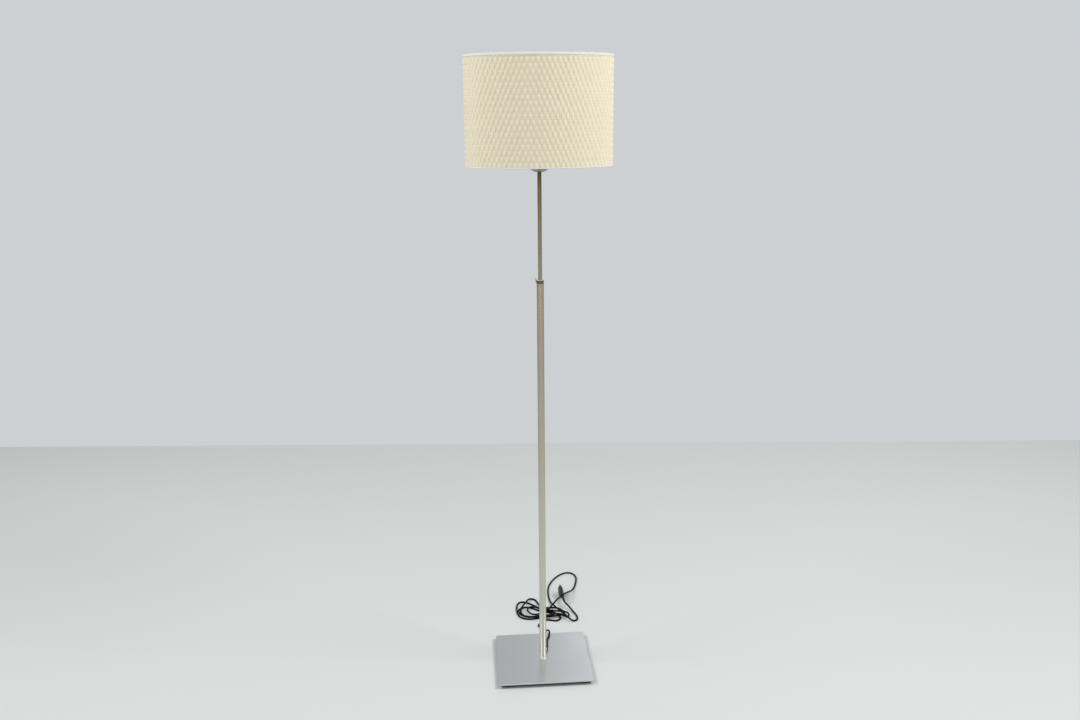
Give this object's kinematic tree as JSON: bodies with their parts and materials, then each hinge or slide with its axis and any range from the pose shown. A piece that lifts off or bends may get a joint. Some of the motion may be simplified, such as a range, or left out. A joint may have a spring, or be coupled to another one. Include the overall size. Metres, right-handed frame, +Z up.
{
  "type": "telescopic floor lamp",
  "caption": "Telescopic floor lamp: square weighted base, two-tube pole with lock screw, lampholder and oval woven drum shade, coiled flex with plug.",
  "frame": {"origin": "on the floor under the centre of the square base, which is the pole's axis", "axes": "+Z up along the pole, X and Y along the base's sides, X along the shade's long way, -Y towards the user, flex behind at +Y"},
  "size_m": [0.357, 0.6467, 1.5941],
  "materials": {
    "cover_nickel": "satin nickel over pressed steel, fine brushed",
    "weight_black": "black painted cast iron",
    "feet_rubber": "matt black rubber",
    "fixing_steel": "zinc plated",
    "tube_nickel": "satin nickel plated tube",
    "ring_bright": "bright nickel",
    "gland_plastic": "moulded, beige",
    "collar_bronze": "dark nickel",
    "lock_metal": "satin nickel",
    "nylon": "natural nylon",
    "rod_nickel": "satin nickel plated rod, darker",
    "dish_grey": "satin grey",
    "holder_plastic": "white moulded thermoplastic",
    "ceramic": "unglazed steatite",
    "brass": "stamped brass",
    "switch_black": "moulded",
    "wire_white": "white powder coated wire",
    "liner_white": "styrene sheet, matt",
    "shade_weave": "coarse paper and cotton basket weave",
    "trim_white": "woven edge tape, glued",
    "flex_black": "black PVC flex",
    "plug_plastic": "moulded, blue black",
    "pin_nickel": "nickel plated brass"
  },
  "bodies": {
    "stand": {"base_cover": "cover_nickel", "base_weight": "weight_black", "base_feet": "feet_rubber", "base_clamp_disc": "fixing_steel", "base_screw": "fixing_steel", "foot_plug": "fixing_steel", "foot_ring": "ring_bright", "lower_tube": "tube_nickel", "cord_gland": "gland_plastic", "lock_collar": "collar_bronze", "lock_pad": "nylon", "inner_flex_lower": "flex_black", "cord_lead": "flex_black", "cord_hank": "flex_black", "cord_loop": "flex_black", "cord_tail": "flex_black", "plug_body": "plug_plastic", "plug_pins": "pin_nickel", "plug_pin_sleeves": "plug_plastic"},
    "glide": {"glide_sleeve": "nylon"},
    "head": {"upper_tube": "rod_nickel", "retaining_clips": "fixing_steel", "inner_flex_upper": "flex_black", "holder_dish": "dish_grey", "holder_cap": "holder_plastic", "holder_shell": "holder_plastic", "holder_insert": "ceramic", "screw_contact": "brass", "centre_contact": "brass", "terminal_screws": "brass", "switch_unit": "switch_black", "shade_cover": "shade_weave", "shade_liner": "liner_white", "shade_trim_top": "trim_white", "shade_trim_bottom": "trim_white", "shade_top_wire": "wire_white", "shade_spider": "wire_white", "shade_ring_nut": "holder_plastic"},
    "lock": {"lock_screw": "lock_metal"},
    "switch": {"switch_knob": "switch_black"}
  },
  "joints": [
    {"name": "height_slide", "type": "slide", "parent": "stand", "child": "glide", "axis": [0, 0, 1], "range_m": [-0.25, 0.2], "deforming": ["inner_flex_lower"]},
    {"name": "head_turn", "type": "hinge", "parent": "glide", "child": "head", "pos_m": [0, 0, 0.82], "axis": [0, 0, 1], "range_deg": [-170, 170]},
    {"name": "lock_screw_turn", "type": "hinge", "parent": "stand", "child": "lock", "pos_m": [-0.0094, 0, 1.055], "axis": [-1, 0, 0], "range_deg": [0, 180]},
    {"name": "switch_turn", "type": "hinge", "parent": "head", "child": "switch", "pos_m": [0.0141, -0.0141, 1.34406], "axis": [0.7071, -0.7071, 0], "range_deg": [0, 90]}
  ]
}
